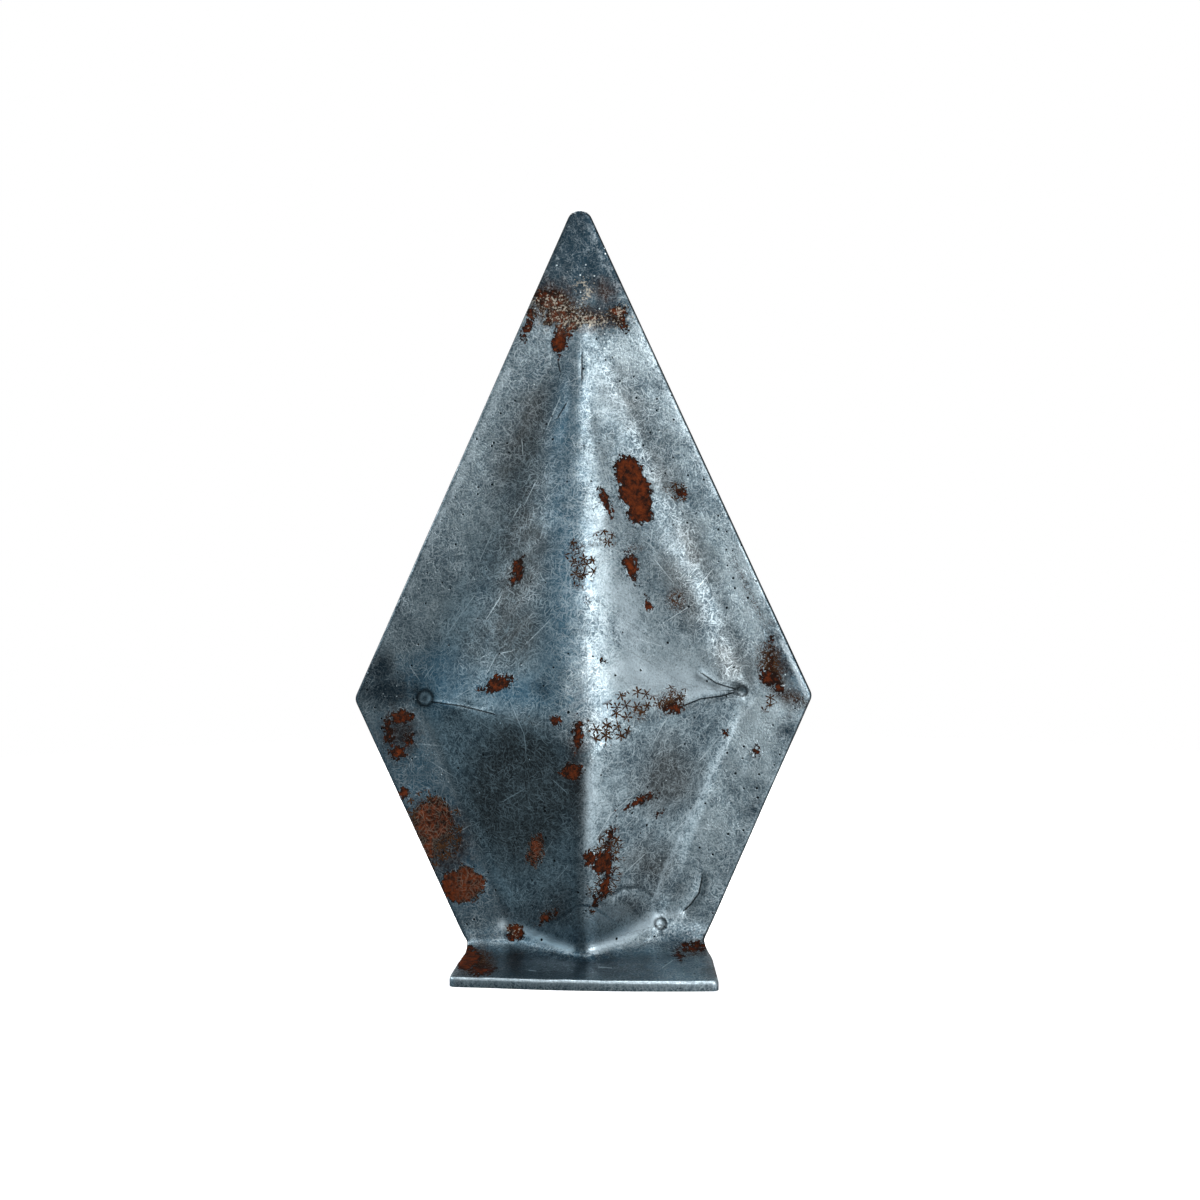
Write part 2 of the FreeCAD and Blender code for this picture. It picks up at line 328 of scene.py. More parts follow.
# Marks on the front sheet: each patch is centre column and row, half width, half height and turn in degrees
frontSheet = {
    "seed": 11,
    "rust": {
        "tipBandLeft": (550, 300, 19, 10, 0),
        "tipBand": (562, 316, 20, 8, 5),
        "tipBandLow": (549, 321, 6, 7, -30),
        "tipDrip": (560, 341, 8, 18, 0),
        "tipDripRight": (573, 326, 6, 14, 25),
        "tipBandMiddle": (590, 318, 12, 4, 0),
        "tipRight": (617, 311, 8, 6, 0),
        "tipDripLeft": (531, 314, 6, 8, 25),
        "tipDripLow": (527, 329, 4.5, 10, 15),
        "tipRightDrip": (621, 320, 4.5, 13, -30),
        "longPatchTop": (629, 473, 15, 18, -6),
        "longPatchWaist": (635, 490, 16, 18, -12),
        "longPatchBottom": (640, 508, 14, 18, -6),
        "besideLongPatch": (605, 501, 4, 12, -22),
        "rightOfLongPatchEnd": (681, 493, 6, 3, 15),
        "underLongPatch": (631, 565, 7, 15, -15),
        "lastOfLongPatch": (648, 605, 4.5, 9, -25),
        "leftSpot": (517, 571, 7, 13, 18),
        "crestPatch": (499, 683, 16, 8, -25),
        "apexDot": (603, 659, 4, 3, 0),
        "apexSpot": (556, 722, 6, 6, 0),
        "ridgeStreakTop": (578, 735, 5, 15, 5),
        "ridgeStreakBottom": (573, 771, 11, 8, -20),
        "slantStreak": (638, 802, 17, 4, -22),
        "slantSpeck": (658, 815, 4, 2, -40),
        "ridgeFootTop": (610, 838, 4, 10, 15),
        "ridgeFootLeft": (590, 858, 7, 7, 0),
        "ridgeFootMiddle": (603, 862, 8, 14, 25),
        "ridgeFootBottom": (606, 884, 6, 16, 18),
        "ridgeFootEnd": (594, 904, 4, 9, 15),
        "leftFacetSpot": (536, 850, 8, 15, 12),
        "leftFacetDrop": (546, 917, 11, 6, -35),
        "ringTop": (401, 717, 11, 7, -10),
        "ringLeft": (389, 734, 6, 14, -10),
        "ringBottom": (397, 752, 10, 7, 0),
        "ringRight": (409, 738, 5, 9, 0),
        "leftEdgeSpeck": (404, 792, 7, 6, 0),
        "leftEdgePatch": (434, 821, 20, 22, 10),
        "leftEdgeTail": (426, 848, 9, 12, -10),
        "leftEdgeLower": (463, 885, 22, 19, 0),
        "footLeftEnd": (467, 957, 14, 13, 0),
        "footLeftTail": (480, 970, 12, 5, 0),
        "footRight": (695, 946, 10, 5, 0),
        "footRightSpeck": (679, 956, 4.5, 4, 0),
        "weldRust": (514, 931, 9, 8, 0),
        "rightCornerTop": (772, 655, 3.5, 15, 0),
        "rightCornerMiddle": (770, 678, 11, 7, 15),
        "rightCornerLow": (778, 688, 6, 5, 20),
        "rightDot": (755, 751, 4, 5, 0),
        "rightDotUpper": (725, 733, 3.5, 3.5, 0),
        "crestMass": (672, 708, 10, 6, -10),
    },
    # Rust that has spread as a fine net
    "lace": {
        "tipBand": (563, 312, 36, 14, 2),
        "tipBandEnd": (611, 319, 14, 8, 20),
        "besideLongPatch": (673, 490, 14, 7, 10),
        "ridge": (577, 549, 10, 10, 0),
        "ridgeLow": (580, 574, 8, 15, 10),
        "ridgeEnd": (587, 600, 5, 6, 0),
        "ridgeLink": (602, 540, 15, 5, -20),
        "underLongPatch": (636, 548, 9, 6, 0),
        "rightFacet": (676, 600, 12, 14, -20),
        "crestMass": (671, 702, 18, 15, -10),
        "crestCluster": (641, 712, 10, 11, 0),
        "crestLow": (609, 732, 10, 9, -30),
        "ridgeFoot": (604, 858, 12, 22, 20),
        "leftEdge": (430, 828, 26, 32, 0),
        "rightCorner": (770, 666, 15, 30, -10),
        "rightCornerEnd": (794, 698, 18, 8, 20),
        "upperRightEdge": (749, 592, 4.5, 50, -25),
        "footLeft": (476, 962, 22, 16, 0),
        "footRight": (690, 950, 18, 9, 0),
    },
    "speckles": {
        "besideLongPatch": (679, 492, 19, 10, 15),
        "ridge": (581, 560, 17, 30, 0),
        "ridgeLink": (604, 540, 18, 11, -25),
        "crest": (650, 701, 44, 19, -8),
        "crestLower": (610, 724, 24, 22, -20),
        "ridgeFoot": (606, 866, 18, 42, 12),
        "rightCorner": (768, 690, 14, 24, 0),
        "leftEdge": (430, 830, 34, 42, 0),
    },
    # Blue-black heat tint at the tip and corners, and painted shade on the foot, at both ends of the bend
    # and beside the foot crease
    "tintAndShade": {
        "tip": (580, 246, 120, 62, 0),
        "tipRightDark": (608, 312, 34, 25, -10),
        "tipMiddleDark": (578, 298, 10, 12, 0),
        "leftCorner": (388, 690, 42, 20, 0),
        "leftWeld": (424, 698, 14, 12, 0),
        "foot": (556, 965, 144, 22, 2),
        "bendEndLeft": (485, 937, 34, 10, 5),
        "bendEndRight": (677, 939, 40, 14, -8),
        "leftCornerUp": (378, 668, 20, 24, 20),
        "rightCorner": (789, 662, 36, 17, 64),
        "crestDark": (542, 688, 12, 12, 0),
        "rightUpperEdge": (771, 629, 7, 9, 0),
        "rightEdge": (787, 731, 15, 17, 0),
        "rightEdgeLower": (755, 809, 12, 11, 0),
        "rightEdgeSpeck": (757, 787, 9, 8, 0),
        "footCreaseDark": (674, 888, 11, 10, 0),
    },
    # Brown grime, with painted shade on the lower left facet, in the valleys beside the diamond, at the apex
    # and in the V above the foot
    "grime": {
        "upperLeft": (517, 586, 34, 72, 20),
        "upperLeftTop": (530, 540, 30, 34, 0),
        "leftLow": (512, 630, 34, 44, 20),
        "upperRight": (690, 600, 20, 60, -25),
        "lowerRight": (668, 775, 32, 40, 20),
        "footOfRidge": (556, 912, 20, 26, 0),
        "leftValley": (523, 512, 27, 110, 20),
        "leftValleyLow": (484, 632, 18, 50, 30),
        "rightValley": (690, 548, 16, 80, -25),
        "rightValleyLow": (726, 654, 23, 52, -22),
        "apex": (590, 712, 8, 28, 0),
        "lowerLeft": (520, 790, 62, 80, 0),
        "upperLeftHigh": (532, 430, 30, 90, 22),
        "upperRightValley": (650, 450, 18, 100, -22),
        "lowerRightLow": (652, 868, 28, 32, 0),
        "footFacetRight": (628, 908, 26, 16, -20),
    },
    # Bluish film, and a painted cool reflection on the surfaces that face left
    "blued": {
        "ridgeLeftTop": (561, 420, 20, 85, 3),
        "ridgeLeft": (562, 560, 20, 150, 2),
        "crestLeft": (520, 694, 70, 18, 5),
        "leftCorner": (436, 680, 40, 36, 0),
        "leftRim": (440, 830, 30, 130, -25),
        "bendLeft": (530, 936, 60, 14, 8),
        "tip": (592, 248, 30, 44, 0),
        "foot": (580, 965, 130, 16, 2),
        "rightCorner": (790, 664, 28, 10, 64),
    },
    # Patches that rubbing has kept bright, and painted highlight along the ridge and the lit right side
    "wornAndHighlight": {
        "crestRight": (652, 672, 78, 34, -6),
        "ridge": (602, 580, 13, 130, 0),
        "aboveBand": (628, 354, 30, 20, 30),
        "rightRim": (765, 720, 26, 60, 25),
        "lowerRightRim": (708, 838, 16, 40, 22),
        "upperRightRim": (741, 588, 16, 62, -25),
        "ridgeFoot": (592, 800, 12, 66, 0),
        "footRoot": (565, 930, 80, 16, 0),
    },
    # Centre, radius and strength
    "welds": {"tip": (591, 292, 12, 0.15), "left": (425, 698, 9, 1), "right": (742, 691, 5.8, 1.0),
              "footLeft": (512, 931, 9, 0.6), "footRight": (660.5, 923.5, 6.5, 1.0)},
    "stain": {
        "tipBandLeft": (550, 301, 32, 23, 0),
        "tipBandLow": (574, 318, 43, 16, 2),
        "weldSide": (604, 290, 16, 15, 0),
        "ridgeLeft": (576, 770, 12, 60, 0),
        "rightCorner": (776, 668, 14, 36, -10),
        "rightCornerLow": (790, 697, 26, 14, 30),
        "leftEdge": (440, 838, 34, 46, -20),
        "footLeft": (476, 962, 20, 16, 0),
        "footRightEdge": (708, 962, 6, 22, -15),
        "ring": (400, 734, 22, 28, 0),
    },
    # Cream flakes of old paint and scale among the rust
    "flakes": {
        "tipBandLow": (582, 321, 44, 9, 2),
        "tipBandLeft": (552, 301, 18, 7, 0),
        "tipBandMiddle": (562, 309, 24, 7, 0),
        "tipBandRight": (620, 312, 7, 9, 0),
        "tipWeld": (586, 291, 9, 12, 0),
        "footWeld": (514, 931, 6, 5, 0),
    },
    # Painted glints: patches with many pale specks, where rust is scraped too
    "glints": {
        "tipBand": (576, 314, 50, 24, 0),
        "tip": (588, 250, 26, 40, 0),
        "leftCorner": (388, 692, 42, 24, 0),
        "rightCorner": (792, 672, 14, 26, -24),
        "leftEdge": (436, 830, 34, 50, -20),
        "lowerLeft": (510, 880, 60, 50, 0),
    },
    # Painted highlights along the bend, ridge, crests and rolled edges, with lines rubbed bright: strength,
    # width and the points they pass through
    "rubbed": {
        "bendLeft": (1.4, 4.5, ((503, 924), (527, 931), (541, 937), (556, 943), (570, 948))),
        "footFacetRight": (0.4, 12, ((600, 912), (618, 915))),
        "bendRight": (1.0, 7, ((598, 945), (614, 939), (628, 933), (643, 925), (655, 918))),
        "bendFarRight": (0.6, 5, ((667, 913), (679, 914))),
        "lowerRightRim": (0.35, 2.5, ((754, 699), (735, 728), (723, 750), (707, 784), (693, 812), (682, 832),
                                      (664, 872), (653, 905))),
        "belowLongPatch": (0.5, 15, ((622, 590), (632, 640))),
        "rightOfRidge": (0.12, 9, ((594, 370), (600, 440), (606, 500))),
        "tipRight": (0.15, 2.5, ((588, 226), (595, 241), (603, 262), (614, 281), (622, 294))),
        "leftOfRidge": (0.15, 8, ((568, 470), (562, 560), (560, 600))),
        "upperLeftEdge": (0.3, 5, ((508, 372), (484, 425), (455, 488), (430, 540))),
        "upperLeftEdgeLow": (0.2, 2.5, ((430, 545), (392, 628), (372, 668))),
        "upperRightEdge": (0.3, 3, ((630, 318), (650, 358), (680, 420), (714, 492))),
        "lowerRidge": (0.4, 7, ((590, 770), (590, 860))),
        "crestRight": (0.5, 5, ((655, 706), (690, 694), (728, 688))),
        "aboveCrestRight": (0.6, 14, ((628, 668), (660, 676), (700, 682))),
        "rightCornerEdge": (0.7, 2.5, ((782, 642), (793, 664), (803, 688), (807, 697))),
        "crestLeft": (0.25, 5, ((436, 697), (480, 700), (516, 712))),
    },
    # Painted shade in creases as thin as a hair
    "creaseShadeLines": [
        ((432, 702), (462, 706), (494, 714)), ((735, 692), (722, 696), (700, 699), (683, 706)),
        ((735, 689), (716, 683), (703, 674)), ((582, 355), (582, 379)), ((558, 362), (560, 371)),
        ((702, 878), (699, 893), (691, 904), (685, 910)), ((566, 404), (558, 417)),
        ((657, 926), (661, 925), (665, 927)),
    ],
    # Long fine scratches, each through two or three points
    "scratches": [
        ((411, 668), (418, 678)), ((425, 677), (433, 666)), ((491, 666), (497, 654), (511, 651)),
        ((511, 704), (524, 734), (526, 751)), ((423, 744), (441, 746)), ((432, 762), (456, 778)),
        ((554, 781), (566, 792)), ((460, 831), (469, 826)), ((480, 722), (487, 727)),
        ((598, 836), (611, 814), (631, 797)), ((607, 889), (644, 855)), ((501, 596), (487, 618)),
        ((522, 441), (523, 455)), ((526, 502), (535, 483)), ((514, 516), (520, 506)),
        ((447, 634), (474, 596)), ((487, 673), (496, 655)), ((560, 398), (548, 425)),
        ((668, 620), (690, 606)), ((655, 560), (672, 581)), ((700, 760), (716, 741)),
        ((668, 838), (684, 822)), ((480, 560), (492, 533)), ((600, 455), (607, 480)),
        ((540, 860), (552, 842)), ((505, 800), (523, 790)), ((640, 640), (662, 646)),
        ((452, 700), (468, 690)), ((700, 585), (712, 570)), ((530, 640), (549, 621)),
        ((556, 880), (568, 866)), ((598, 967), (612, 968)), ((528, 970), (536, 971)),
        ((663, 967), (672, 961)), ((655, 740), (664, 722)),
    ],
    # Depth in mm, width and points of each pressed or bent line
    "creases": {
        "leftCrest": (0.10, 3, ((428, 697), (450, 701), (480, 707))),
        "pinchLower": (0.16, 4, ((737, 692), (710, 697), (683, 706))),
        "pinchUpper": (0.14, 4, ((737, 688), (716, 683), (700, 674))),
        "rightCornerNotch": (0.30, 4, ((733, 690), (742, 692))),
        "arc": (0.12, 3, ((612, 896), (622, 890), (640, 889), (652, 898), (656, 914))),
        "footCrease": (0.14, 4, ((702, 878), (699, 893), (685, 910))),
        "ridgeNick": (0.06, 2.5, ((582, 356), (582, 378))),
        "upperRightValley": (0.07, 26, ((640, 400), (665, 480), (690, 560), (720, 650))),
        "upperLeftValley": (0.07, 28, ((548, 470), (520, 560), (482, 650))),
    },
}

# Marks on the back sheet, placed as if seen through the front one. Welds, heat tint with painted shade,
# bluish film with painted reflection, wear and rubbed lines with painted highlight, painted crease shade
# and creases are the front one's
backSheet = {
    **frontSheet,
    "seed": 47,
    "rust": {
        "tipBand": (586, 310, 20, 6, 0),
        "tipDrip": (601, 334, 6, 16, -10),
        "tipDripLeft": (550, 326, 5, 11, 20),
        "upperPatch": (546, 470, 11, 24, 12),
        "upperPatchLow": (539, 508, 7, 12, 20),
        "upperSpot": (640, 562, 7, 12, -20),
        "crestPatch": (655, 688, 15, 7, 15),
        "ridgeStreak": (589, 760, 5, 20, -8),
        "ridgeFoot": (570, 868, 7, 20, -15),
        "lowerSpot": (502, 806, 7, 12, 20),
        "rightEdge": (741, 800, 17, 24, 20),
        "rightEdgeLow": (708, 872, 13, 18, 20),
        "leftCorner": (384, 722, 7, 14, 10),
        "footRight": (696, 958, 14, 12, 0),
        "footLeft": (466, 950, 9, 5, 0),
    },
    "lace": {
        "tipBand": (590, 312, 34, 14, 0),
        "upperPatch": (560, 520, 14, 16, 20),
        "ridge": (592, 606, 9, 20, 0),
        "crest": (545, 706, 34, 13, 10),
        "ridgeFoot": (566, 862, 14, 28, -15),
        "rightEdge": (738, 812, 24, 38, 20),
        "leftCorner": (386, 716, 16, 24, 10),
    },
    "speckles": {
        "ridge": (590, 600, 16, 30, 0),
        "crest": (546, 706, 50, 20, 10),
        "crestRight": (628, 720, 22, 14, -20),
    },
    "grime": {
        "upperLeft": (520, 480, 34, 80, 22),
        "upperRight": (668, 560, 36, 90, -22),
        "lowerLeft": (500, 790, 52, 70, 0),
        "lowerRight": (652, 820, 40, 60, 10),
    },
    "stain": {
        "tipBand": (584, 306, 44, 20, 0),
        "rightEdge": (732, 826, 30, 50, 20),
        "leftCorner": (380, 706, 20, 30, 0),
        "footRight": (698, 960, 20, 16, 0),
    },
    "flakes": {"tipBand": (588, 322, 38, 8, 0)},
    "glints": {
        "tip": (572, 262, 30, 46, 0),
        "tipBand": (584, 324, 44, 12, 0),
        "rightEdge": (734, 820, 32, 50, 20),
    },
    "scratches": [
        ((620, 440), (634, 470)), ((540, 590), (552, 560)), ((690, 640), (706, 622)),
        ((470, 660), (490, 644)), ((610, 800), (640, 772)), ((520, 750), (528, 784)),
        ((676, 760), (694, 744)), ((560, 400), (566, 430)), ((455, 740), (474, 752)),
        ((640, 850), (656, 836)), ((600, 520), (612, 548)), ((496, 860), (512, 846)),
    ],
}

# Small height over the pressed form, in mm along the normal
surface = {
    "swells": ((0.045, 10), (0.018, 3.4), (0.008, 1.1)),    # height, and distance from hump to hump
    "weldLip": 0.02,        # how far the ring round a weld stands up
    "weldDish": 0.04,       # how deep its middle lies
    "rust": 0.035,          # thickness of the rust
    "rustSwell": 0.02,      # by which it varies
    # Tone of the cut edge, from its outer to its inner side: above zero a painted highlight on the rolled
    # edge of the lip, dark below
    "frontEdge": (0, 0.3, 0.6, 0.7, 0.65, 0.5, 0.15, -0.2),
    "rightEdge": (0, -0.5, -0.9, -1, -1, -1, -0.5, -0.3),
    "leftEdge": (0, 0, -0.5, -1, -1, -1, -0.5, -0.3),
}
patchKinds = ("rust", "lace", "speckles", "tintAndShade", "blued", "grime", "stain", "wornAndHighlight", "glints", "flakes")
lineKinds = ("rubbed", "weldRing", "weldBed", "rim", "scratches", "creaseShadeLines")


def steps(value, low, high):
    # from 0 at low to 1 at high, with no kink at either end
    share = np.clip((value - low) / (high - low), 0, 1)
    return share * share * (3 - 2 * share)


def relief(points, marks):
    column, row = toPicture(points)
    seed = marks["seed"]
    swells = enumerate(surface["swells"])
    height = sum(high * ripple(points, size, seed + number) for number, (high, size) in swells)
    height -= alongLines(marks["creases"], column, row)
    for x, y, radius, strength in marks["welds"].values():
        away = np.hypot(column - x, row - y) / radius
        lip = surface["weldLip"] * np.exp(-((away - 1) / 0.3) ** 2)
        height += strength * (lip - surface["weldDish"] * np.exp(-(away / 0.7) ** 4))
    rusty = steps(inPatches(marks["rust"], column, row) + 1.5 * ripple(points, 0.5, seed + 3), -1, 3)
    return height + rusty * (surface["rust"] + surface["rustSwell"] * ripple(points, 0.6, seed + 4))


def wrapSheet(marks, step):
    # the closed sheet: its points, faces, places on the unfolded sheet and the loops along its cut edge
    points, normals, rows, flat = traceSkin(step)
    faces = skinFaces(points, rows)
    border = borderOf(rows)
    edge, edgeNormal, flatEdge = points[border], normals[border], flat[border]
    lift = relief(points, marks)
    points = points + normals * lift[:, None]
    tangent = np.roll(edge, -1, axis=0) - np.roll(edge, 1, axis=0)
    outward = np.cross(edgeNormal, tangent / np.linalg.norm(tangent, axis=1)[:, None])
    flatTangent = np.roll(flatEdge, -1, axis=0) - np.roll(flatEdge, 1, axis=0)
    flatOutward = flatTangent[:, ::-1] * (-1, 1) / np.linalg.norm(flatTangent, axis=1)[:, None]

    # the cut edge rolls over on the outer side and then runs square to the inner one
    roll, sheet = form["edgeRoll"], form["sheet"]
    turns = [math.radians(a) for a in (18, 36, 54, 72, 90)]
    profile = [(roll * math.sin(a), roll * (1 - math.cos(a))) for a in turns]
    loops = [border]
    for out, back in profile + [(roll, 0.7 * sheet), (roll, sheet)]:
        loops.append(len(points) + np.arange(len(border)))
        depth = (lift[border] * (1 - back / sheet) - back)[:, None]
        points = np.vstack([points, edge + outward * out + edgeNormal * depth])
        flat = np.vstack([flat, flatEdge + flatOutward * (out + back)])
    for first, second in zip(loops, loops[1:]):
        after, under = np.roll(first, -1), np.roll(second, -1)
        faces += np.column_stack([first, after, under, second]).tolist()

    # the smooth inner side is coarser, and a seam joins it to the cut edge
    inner, innerNormals, innerRows, innerFlat = traceSkin(4 * step)
    faces += (np.array(skinFaces(inner, innerRows)) + len(points))[:, ::-1].tolist()
    ends = [loops[-1], borderOf(innerRows) + len(points)]
    points = np.vstack([points, inner - innerNormals * sheet])
    flat = np.vstack([flat, innerFlat])
    place = np.zeros(len(points))
    for loop in ends:
        lengths = np.linalg.norm(np.roll(points[loop], -1, axis=0) - points[loop], axis=1)
        place[loop] = np.concatenate([[0], np.cumsum(lengths)[:-1]]) / lengths.sum()
    outer, inner = (loop.tolist() for loop in ends)
    faces += zipRows(outer, inner, place.tolist())
    faces += [(outer[-1], inner[-1], outer[0]), (outer[0], inner[-1], inner[0])]
    return points, faces, flat, loops


def markFields(marks, points, flat, loops):
    # how strongly each kind of mark shows at each point
    farFromLine = 9
    column, row = toPicture(points)
    fields = {kind: inPatches(marks[kind], column, row) for kind in patchKinds}
    fields["weldRing"], fields["weldBed"] = np.zeros((2, len(points)))
    for x, y, radius, strength in marks["welds"].values():
        away = np.hypot(column - x, row - y) / radius
        fields["weldRing"] += strength * np.exp(-((away - 0.85) / 0.24) ** 2)
        fields["weldBed"] += strength * np.exp(-((away - 0.45) / 0.2) ** 2)
    fields["rim"] = np.zeros(len(points))
    across, height = flat[loops[0]].T
    tones = zip(loops, surface["frontEdge"], surface["rightEdge"], surface["leftEdge"])
    for loop, onFront, onRight, onLeft in tones:
        onSide = np.where(across > 0, onRight, onLeft)
        fields["rim"][loop] = np.where(height < footEnd + form["footCorner"] * 2, onFront, onSide)
    fields["rubbed"] = alongLines(marks["rubbed"], column, row)
    for kind in ("scratches", "creaseShadeLines"):
        fields[kind] = np.clip(fromStrokes(marks[kind], column, row), -farFromLine, farFromLine)
    return fields


def buildSheet(name, marks, facing):
    # facing is 1 for the front sheet and -1 for its twin behind
    points, faces, flat, loops = wrapSheet(marks, form["meshStep"])
    fields = markFields(marks, points, flat, loops)
    if facing < 0:
        points = points * (1, -1, 1)
        faces = [face[::-1] for face in faces]
    mesh = bpy.data.meshes.new(name)
    mesh.from_pydata((points * mm).tolist(), [], faces)
    mesh.shade_smooth()
    sharpAngle = math.radians(50)
    mesh.set_sharp_from_angle(angle=sharpAngle)
    for kind, values in fields.items():
        mesh.attributes.new(kind, "FLOAT", "POINT").data.foreach_set("value", values.astype(np.float32))
    # place on the unfolded sheet, in mm, shifted so that the two sheets differ
    unfolded = np.column_stack([flat + 3.0 * marks["seed"], np.zeros(len(flat))]).astype(np.float32)
    mesh.attributes.new("unfolded", "FLOAT_VECTOR", "POINT").data.foreach_set("vector", unfolded.ravel())
    piece = bpy.data.objects.new(name, mesh)
    bpy.context.scene.collection.objects.link(piece)
    triangles = sum(len(face) - 2 for face in faces)
    print(name, "has", len(points), "points and", triangles, "triangles")
    return piece


def linear(code):
    # sRGB hex to the linear colour that a shader takes
    parts = [int(code[i:i + 2], 16) / 255 for i in (1, 3, 5)]
    return [c / 12.92 if c <= 0.04045 else ((c + 0.055) / 1.055) ** 2.4 for c in parts] + [1]


def addNode(tree, kind, *inputs, **named):
    # a node with its settings, then its inputs, in order or by a name with a capital. A second word of the
    # kind is the node's operation, and an input that is given as a node or socket is linked
    kind, *operation = kind.split()
    node = tree.nodes.new("ShaderNode" + kind)
    if operation:
        node.operation = operation[0]
    for name, value in named.items():
        if name[0].islower():
            setattr(node, name, value)
    sockets = [socket for socket in node.inputs if socket.enabled]
    pairs = list(zip(sockets, inputs)) + [(s, named[s.name]) for s in sockets if s.name in named]
    for socket, value in pairs:
        if isinstance(value, bpy.types.Node):
            value = next(output for output in value.outputs if output.enabled)
        if isinstance(value, bpy.types.NodeSocket):
            tree.links.new(value, socket)
        else:
            socket.default_value = value
    return node


# Cold rolled mild steel, pressed, then handled for years. The rolling and handling give a soft sheen,
# crossed by countless short fine strokes that sparkle. Over it lie a bluish film with a painted cool
# reflection on the faces that look left, brown grime with painted shade on the lower left facet, in the
# valleys and in the V above the foot, blue-black heat tint at tip and corners with painted shade on the foot
# and at the ends of the bend, painted highlights along the ridge, bend and edges, and matt brown rust,
# in patches, as a fine net and in small stars, with cream flakes at the tip
steel = {
    "bright": "#B6C6CD",
    "middle": "#7C8D95",
    "dark": "#44555F",
    "paleStroke": "#DDEAEF",
    "darkStroke": "#27323A",
    "pit": "#101519",
    "heat": "#1A2C37",
    "blued": "#3C6D86",
    "grime": "#35312D",
    "stain": "#352319",
    "rubbed": "#D6E6EE",
    "rustLight": "#5A270E",
    "rustDark": "#190D08",
    "scraped": "#7E7468",
    "star": "#3E2816",
    "flake": "#ABA496",
    "roughness": 0.34,
    # Sizes in mm
    "cloud": 5.0,
    "mottle": 1.0,
    "grain": 0.20,          # drawn twice as coarse as the real grain, to show
    "strokeWidth": 0.085,   # drawn about twice as wide as a real scratch, to show
    "pitSpacing": 0.8,
    "speckSpacing": 0.5,
    "rustEdge": 0.35,
    "rustGrain": 0.22,
    "starSpacing": 1.05,
    "starReach": 0.62,
    # Layers of strokes: colour, mm from stroke to stroke, and how far the layer is shifted
    "strokes": (
        ("paleStroke", 0.55, 0), ("paleStroke", 0.42, 7.3), ("paleStroke", 0.8, 15.1),
        ("paleStroke", 0.5, 31.7), ("darkStroke", 0.5, 44.9), ("darkStroke", 0.42, 58.3),
        ("darkStroke", 0.7, 66.1)),
    # Films: mark, colour, pattern and reach of the edge, depths in pixels where the film starts and is
    # full, and how much it covers there
    "films": (
        ("blued", "blued", "clouds", 60, -8, 16, 0.6), ("grime", "grime", "clouds", 60, -8, 20, 0.76),
        ("tintAndShade", "heat", "mottle", 44, -3, 13, 0.92), ("stain", "stain", "mottle", 44, -4, 14, 0.85)),
}


def shortStrokes(add, flat):
    # straight strokes by colour, one to a cell, each turned by chance and cut off where its cell ends
    wobble = add("TexNoise", flat, 1.1, 1).outputs["Color"]
    warped = add("VectorMath MULTIPLY_ADD", wobble, (0.5, 0.5, 0), flat)
    half = steel["strokeWidth"] / 2
    strokes = {}
    for paint, spacing, shift in steel["strokes"]:
        shifted = add("VectorMath ADD", warped, (shift, shift / 2, 0))
        cells = add("TexVoronoi", shifted, 1 / spacing, voronoi_dimensions="2D")
        offset = add("VectorMath SUBTRACT", shifted, cells.outputs["Position"])
        chance = add("SeparateColor", cells.outputs["Color"]).outputs
        turn = add("Math MULTIPLY", chance["Red"], math.pi)
        turned = add("VectorRotate", Vector=offset, Angle=turn, rotation_type="Z_AXIS")
        across = add("Math ABSOLUTE", add("SeparateXYZ", turned).outputs["Y"])
        stroke = add("MapRange", across, half * 1.3, half * 0.5)
        stroke = add("Math MULTIPLY", stroke, chance["Blue"])
        if paint in strokes:
            stroke = add("Math MAXIMUM", stroke, strokes[paint])
        strokes[paint] = stroke
    return strokes


def rustStars(add, flat, patches, ragged):
    # stars with six arms of chance length, one to a cell, in some cells of the speckled patches
    cells = add("TexVoronoi", flat, 1 / steel["starSpacing"], voronoi_dimensions="2D")
    offset = add("VectorMath SUBTRACT", flat, cells.outputs["Position"])
    chance = add("SeparateColor", cells.outputs["Color"]).outputs
    parts = add("SeparateXYZ", offset).outputs
    angle = add("Math ARCTAN2", parts["Y"], parts["X"])
    spin = add("Math MULTIPLY", chance["Green"], math.pi)
    arm = add("Math MULTIPLY_ADD", angle, 3, spin)
    arm = add("Math COSINE", arm)
    arm = add("Math ABSOLUTE", arm)
    arm = add("Math POWER", arm, 3)
    longest = steel["starReach"]
    reach = add("Math MULTIPLY_ADD", arm, longest * 0.75, longest * -0.85)
    reach = add("Math MULTIPLY_ADD", ragged, longest * 2.2, reach)
    away = add("VectorMath LENGTH", offset).outputs["Value"]
    stars = add("Math SUBTRACT", reach, away)
    stars = add("MapRange", stars, -0.02, 0.06)
    chosen = add("Math MULTIPLY_ADD", chance["Red"], 30, -14)
    chosen = add("Math ADD", chosen, patches)
    for share in (add("MapRange", chosen, 0, 2), add("MapRange", patches, -1, 2)):
        stars = add("Math MULTIPLY", stars, share)
    return stars


